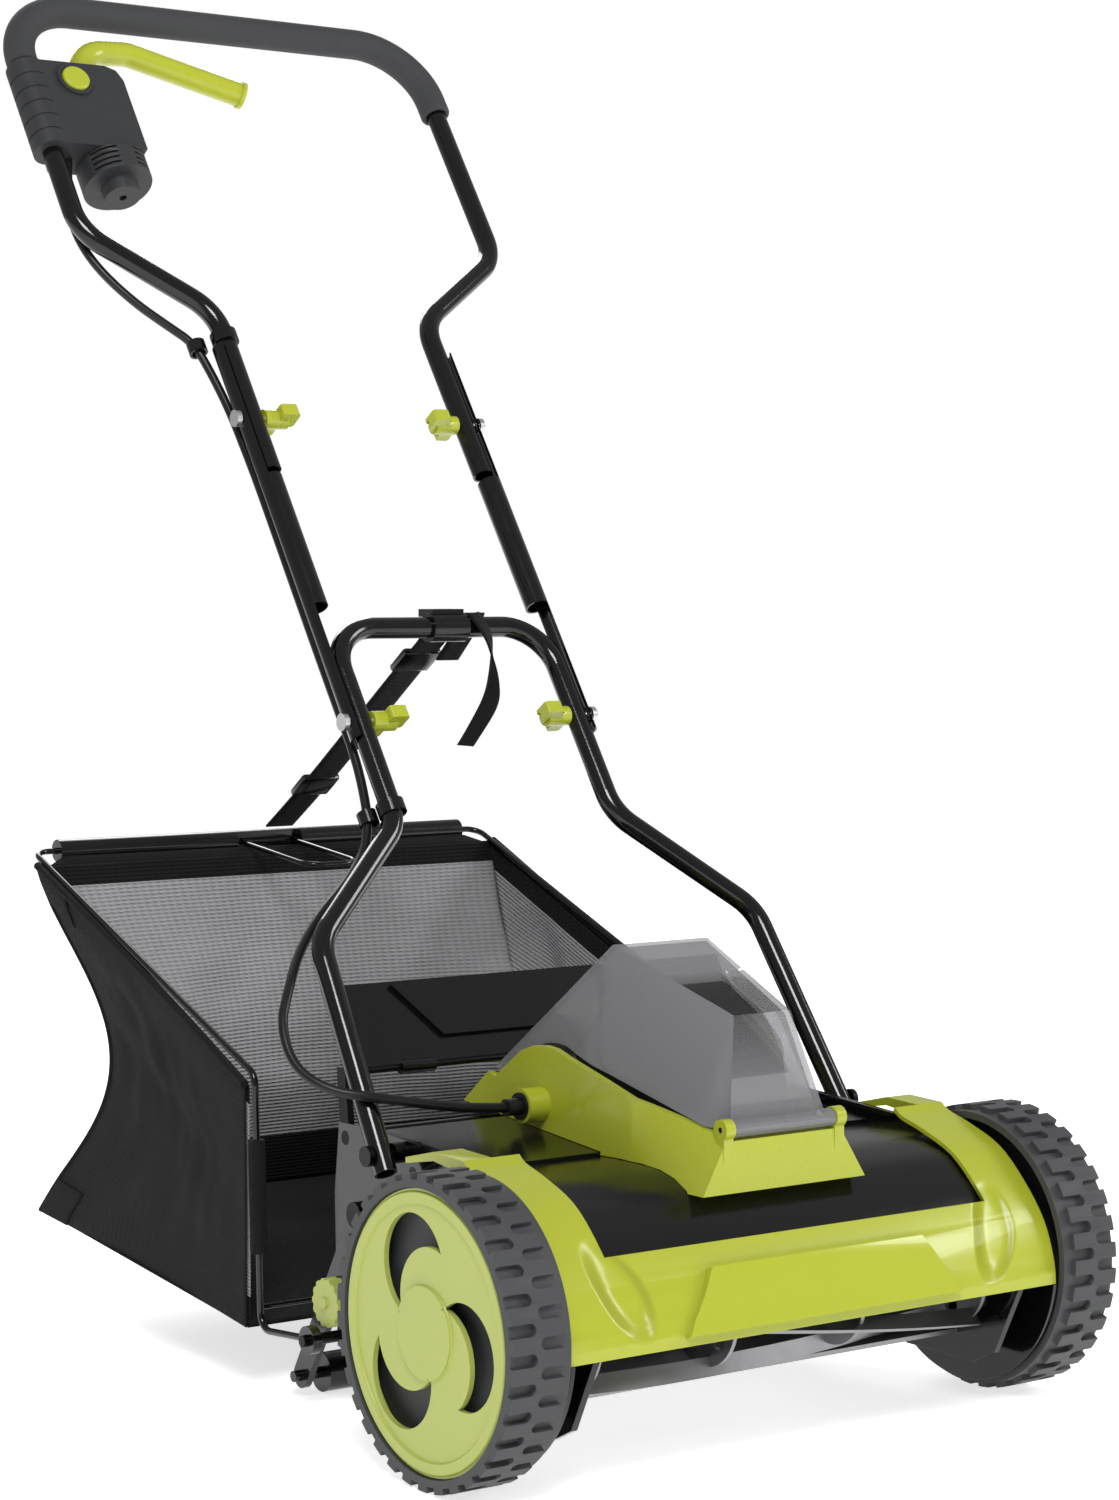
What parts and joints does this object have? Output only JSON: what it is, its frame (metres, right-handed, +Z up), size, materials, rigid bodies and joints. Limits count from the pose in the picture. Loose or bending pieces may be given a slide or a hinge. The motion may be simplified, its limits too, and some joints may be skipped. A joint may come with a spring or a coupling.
{
  "type": "reel mower",
  "caption": "Push reel mower with a battery box under a clear cover, a folding tube handle, a bail switch, a rear height roller and a hanging mesh grass bag.",
  "frame": {"origin": "on the ground under the middle of the machine's bounding box", "axes": "+Z up, +Y towards the grass bag and the grip, +X to the side away from the switch"},
  "size_m": [0.51, 0.8089, 1.0419],
  "materials": {
    "green_plastic": "satin lime green moulding",
    "pale_green_plastic": "satin pale lime moulding",
    "grey_tyre": "matte grey tread",
    "grey_plastic": "fine-grained dark grey",
    "black_plastic": "gloss black",
    "black_tube": "gloss black enamel",
    "bright_steel": "zinc plated",
    "blade_steel": "ground edge steel",
    "bearing_bronze": "sintered bronze",
    "foam": "matte closed-cell foam",
    "clear_cover": "smoked clear moulding",
    "black_rubber": "smooth black rubber",
    "black_cloth": "plain black woven cloth",
    "grey_mesh": "ribbed grey mesh cloth"
  },
  "bodies": {
    "chassis": {"axle_stubs": "bright_steel", "left_side_plate": "black_tube", "right_side_plate": "black_tube", "tie_rods": "bright_steel", "reel_bearings": "bearing_bronze", "motor": "bright_steel", "drive_belt": "black_rubber", "drive_case": "black_plastic", "bed_knife": "blade_steel", "deck_cover": "black_plastic", "rear_plate": "black_plastic", "front_panel": "green_plastic", "battery_box": "green_plastic", "battery_dock": "grey_plastic", "cover_hinge_pin": "bright_steel", "lower_handle": "black_tube", "chassis_bolts": "bright_steel", "cable_lower": "black_rubber", "cable_gland": "black_rubber", "lower_cable_clip": "black_plastic", "strap_buckle": "black_plastic", "strap": "black_cloth"},
    "left_wheel": {"left_tyre": "grey_tyre", "left_hub_cover": "pale_green_plastic", "left_bush": "bearing_bronze"},
    "right_wheel": {"right_tyre": "grey_tyre", "right_hub_cover": "pale_green_plastic", "right_bush": "bearing_bronze"},
    "reel": {"reel_shaft": "bright_steel", "reel_blades": "blade_steel", "reel_spiders": "blade_steel", "reel_pulley": "bright_steel"},
    "motor_rotor": {"motor_pulley": "bright_steel"},
    "cover": {"battery_cover": "clear_cover"},
    "battery": {"battery_pack": "black_plastic"},
    "mid_handle": {"left_mid_tube": "black_tube", "right_mid_tube": "black_tube", "lower_fold_bolts": "bright_steel", "upper_fold_bolts": "bright_steel", "cable_mid": "black_rubber"},
    "grip_handle": {"upper_handle": "black_tube", "foam_grip": "foam", "switch_housing": "grey_plastic", "switch_base": "grey_plastic", "cable_upper": "black_rubber", "upper_cable_clip": "black_plastic"},
    "bail": {"bail_lever": "green_plastic"},
    "button": {"lock_button": "green_plastic"},
    "left_lower_nut": {"left_lower_wing_nut": "green_plastic"},
    "right_lower_nut": {"right_lower_wing_nut": "green_plastic"},
    "left_upper_nut": {"left_upper_wing_nut": "green_plastic"},
    "right_upper_nut": {"right_upper_wing_nut": "green_plastic"},
    "height_frame": {"roller_frame": "grey_plastic", "height_knobs": "pale_green_plastic"},
    "roller": {"rear_roller": "black_plastic"},
    "flap": {"rear_flap": "grey_plastic"},
    "bag": {"bag_cloth": "black_cloth", "bag_mesh_panel": "grey_mesh", "bag_frame": "black_tube", "bag_bar": "black_plastic"}
  },
  "joints": [
    {"name": "left_wheel_spin", "type": "hinge", "parent": "chassis", "child": "left_wheel", "pos_m": [-0.232, -0.30396, 0.1005], "axis": [1, 0, 0], "continuous": true},
    {"name": "right_wheel_spin", "type": "hinge", "parent": "chassis", "child": "right_wheel", "pos_m": [0.232, -0.30396, 0.1005], "axis": [1, 0, 0], "continuous": true},
    {"name": "reel_spin", "type": "hinge", "parent": "chassis", "child": "reel", "pos_m": [0, -0.33596, 0.092], "axis": [1, 0, 0], "continuous": true},
    {"name": "motor_spin", "type": "hinge", "parent": "chassis", "child": "motor_rotor", "pos_m": [-0.17, -0.32307, 0.15265], "axis": [1, 0, 0], "continuous": true},
    {"name": "cover_hinge", "type": "hinge", "parent": "chassis", "child": "cover", "pos_m": [0, -0.34796, 0.215], "axis": [1, 0, 0], "range_deg": [0, 100]},
    {"name": "battery_slide", "type": "slide", "parent": "chassis", "child": "battery", "axis": [0, 0.9856, 0.1688], "range_m": [0, 0.012]},
    {"name": "lower_fold", "type": "hinge", "parent": "chassis", "child": "mid_handle", "pos_m": [0, 0.01604, 0.47], "axis": [-1, 0, 0], "range_deg": [-110, 0], "deforming": ["cable_mid"]},
    {"name": "upper_fold", "type": "hinge", "parent": "mid_handle", "child": "grip_handle", "pos_m": [0, 0.16775, 0.69576], "axis": [1, 0, 0], "range_deg": [-118, 0], "deforming": ["cable_upper"]},
    {"name": "bail_pivot", "type": "hinge", "parent": "grip_handle", "child": "bail", "pos_m": [-0.144, 0.35289, 0.96412], "axis": [0, -0.83, 0.5577], "range_deg": [0, 14], "stiffness_Nm_per_rad": 0.6, "springref_deg": -34.38},
    {"name": "button_press", "type": "slide", "parent": "grip_handle", "child": "button", "axis": [0, 0.83, -0.5577], "range_m": [0, 0.0025], "stiffness_N_per_m": 400, "springref_m": -0.003},
    {"name": "left_lower_nut_turn", "type": "hinge", "parent": "chassis", "child": "left_lower_nut", "pos_m": [-0.076, 0.01604, 0.47], "axis": [1, 0, 0], "continuous": true},
    {"name": "right_lower_nut_turn", "type": "hinge", "parent": "chassis", "child": "right_lower_nut", "pos_m": [0.076, 0.01604, 0.47], "axis": [1, 0, 0], "continuous": true},
    {"name": "left_upper_nut_turn", "type": "hinge", "parent": "mid_handle", "child": "left_upper_nut", "pos_m": [-0.076, 0.16775, 0.69576], "axis": [1, 0, 0], "continuous": true},
    {"name": "right_upper_nut_turn", "type": "hinge", "parent": "mid_handle", "child": "right_upper_nut", "pos_m": [0.076, 0.16775, 0.69576], "axis": [1, 0, 0], "continuous": true},
    {"name": "height_pivot", "type": "hinge", "parent": "chassis", "child": "height_frame", "pos_m": [0, -0.12396, 0.14], "axis": [1, 0, 0], "range_deg": [-3, 8]},
    {"name": "roller_spin", "type": "hinge", "parent": "height_frame", "child": "roller", "pos_m": [0, -0.04796, 0.014], "axis": [1, 0, 0], "continuous": true},
    {"name": "flap_hinge", "type": "hinge", "parent": "chassis", "child": "flap", "pos_m": [0, -0.09296, 0.233], "axis": [1, 0, 0], "range_deg": [0, 30]},
    {"name": "bag_swing", "type": "hinge", "parent": "chassis", "child": "bag", "pos_m": [0, -0.09596, 0.051], "axis": [1, 0, 0], "range_deg": [0, 20], "deforming": ["strap"]}
  ],
  "couplings": [
    {"joint": "motor_spin", "follows": "reel_spin", "ratio": 1.8}
  ]
}
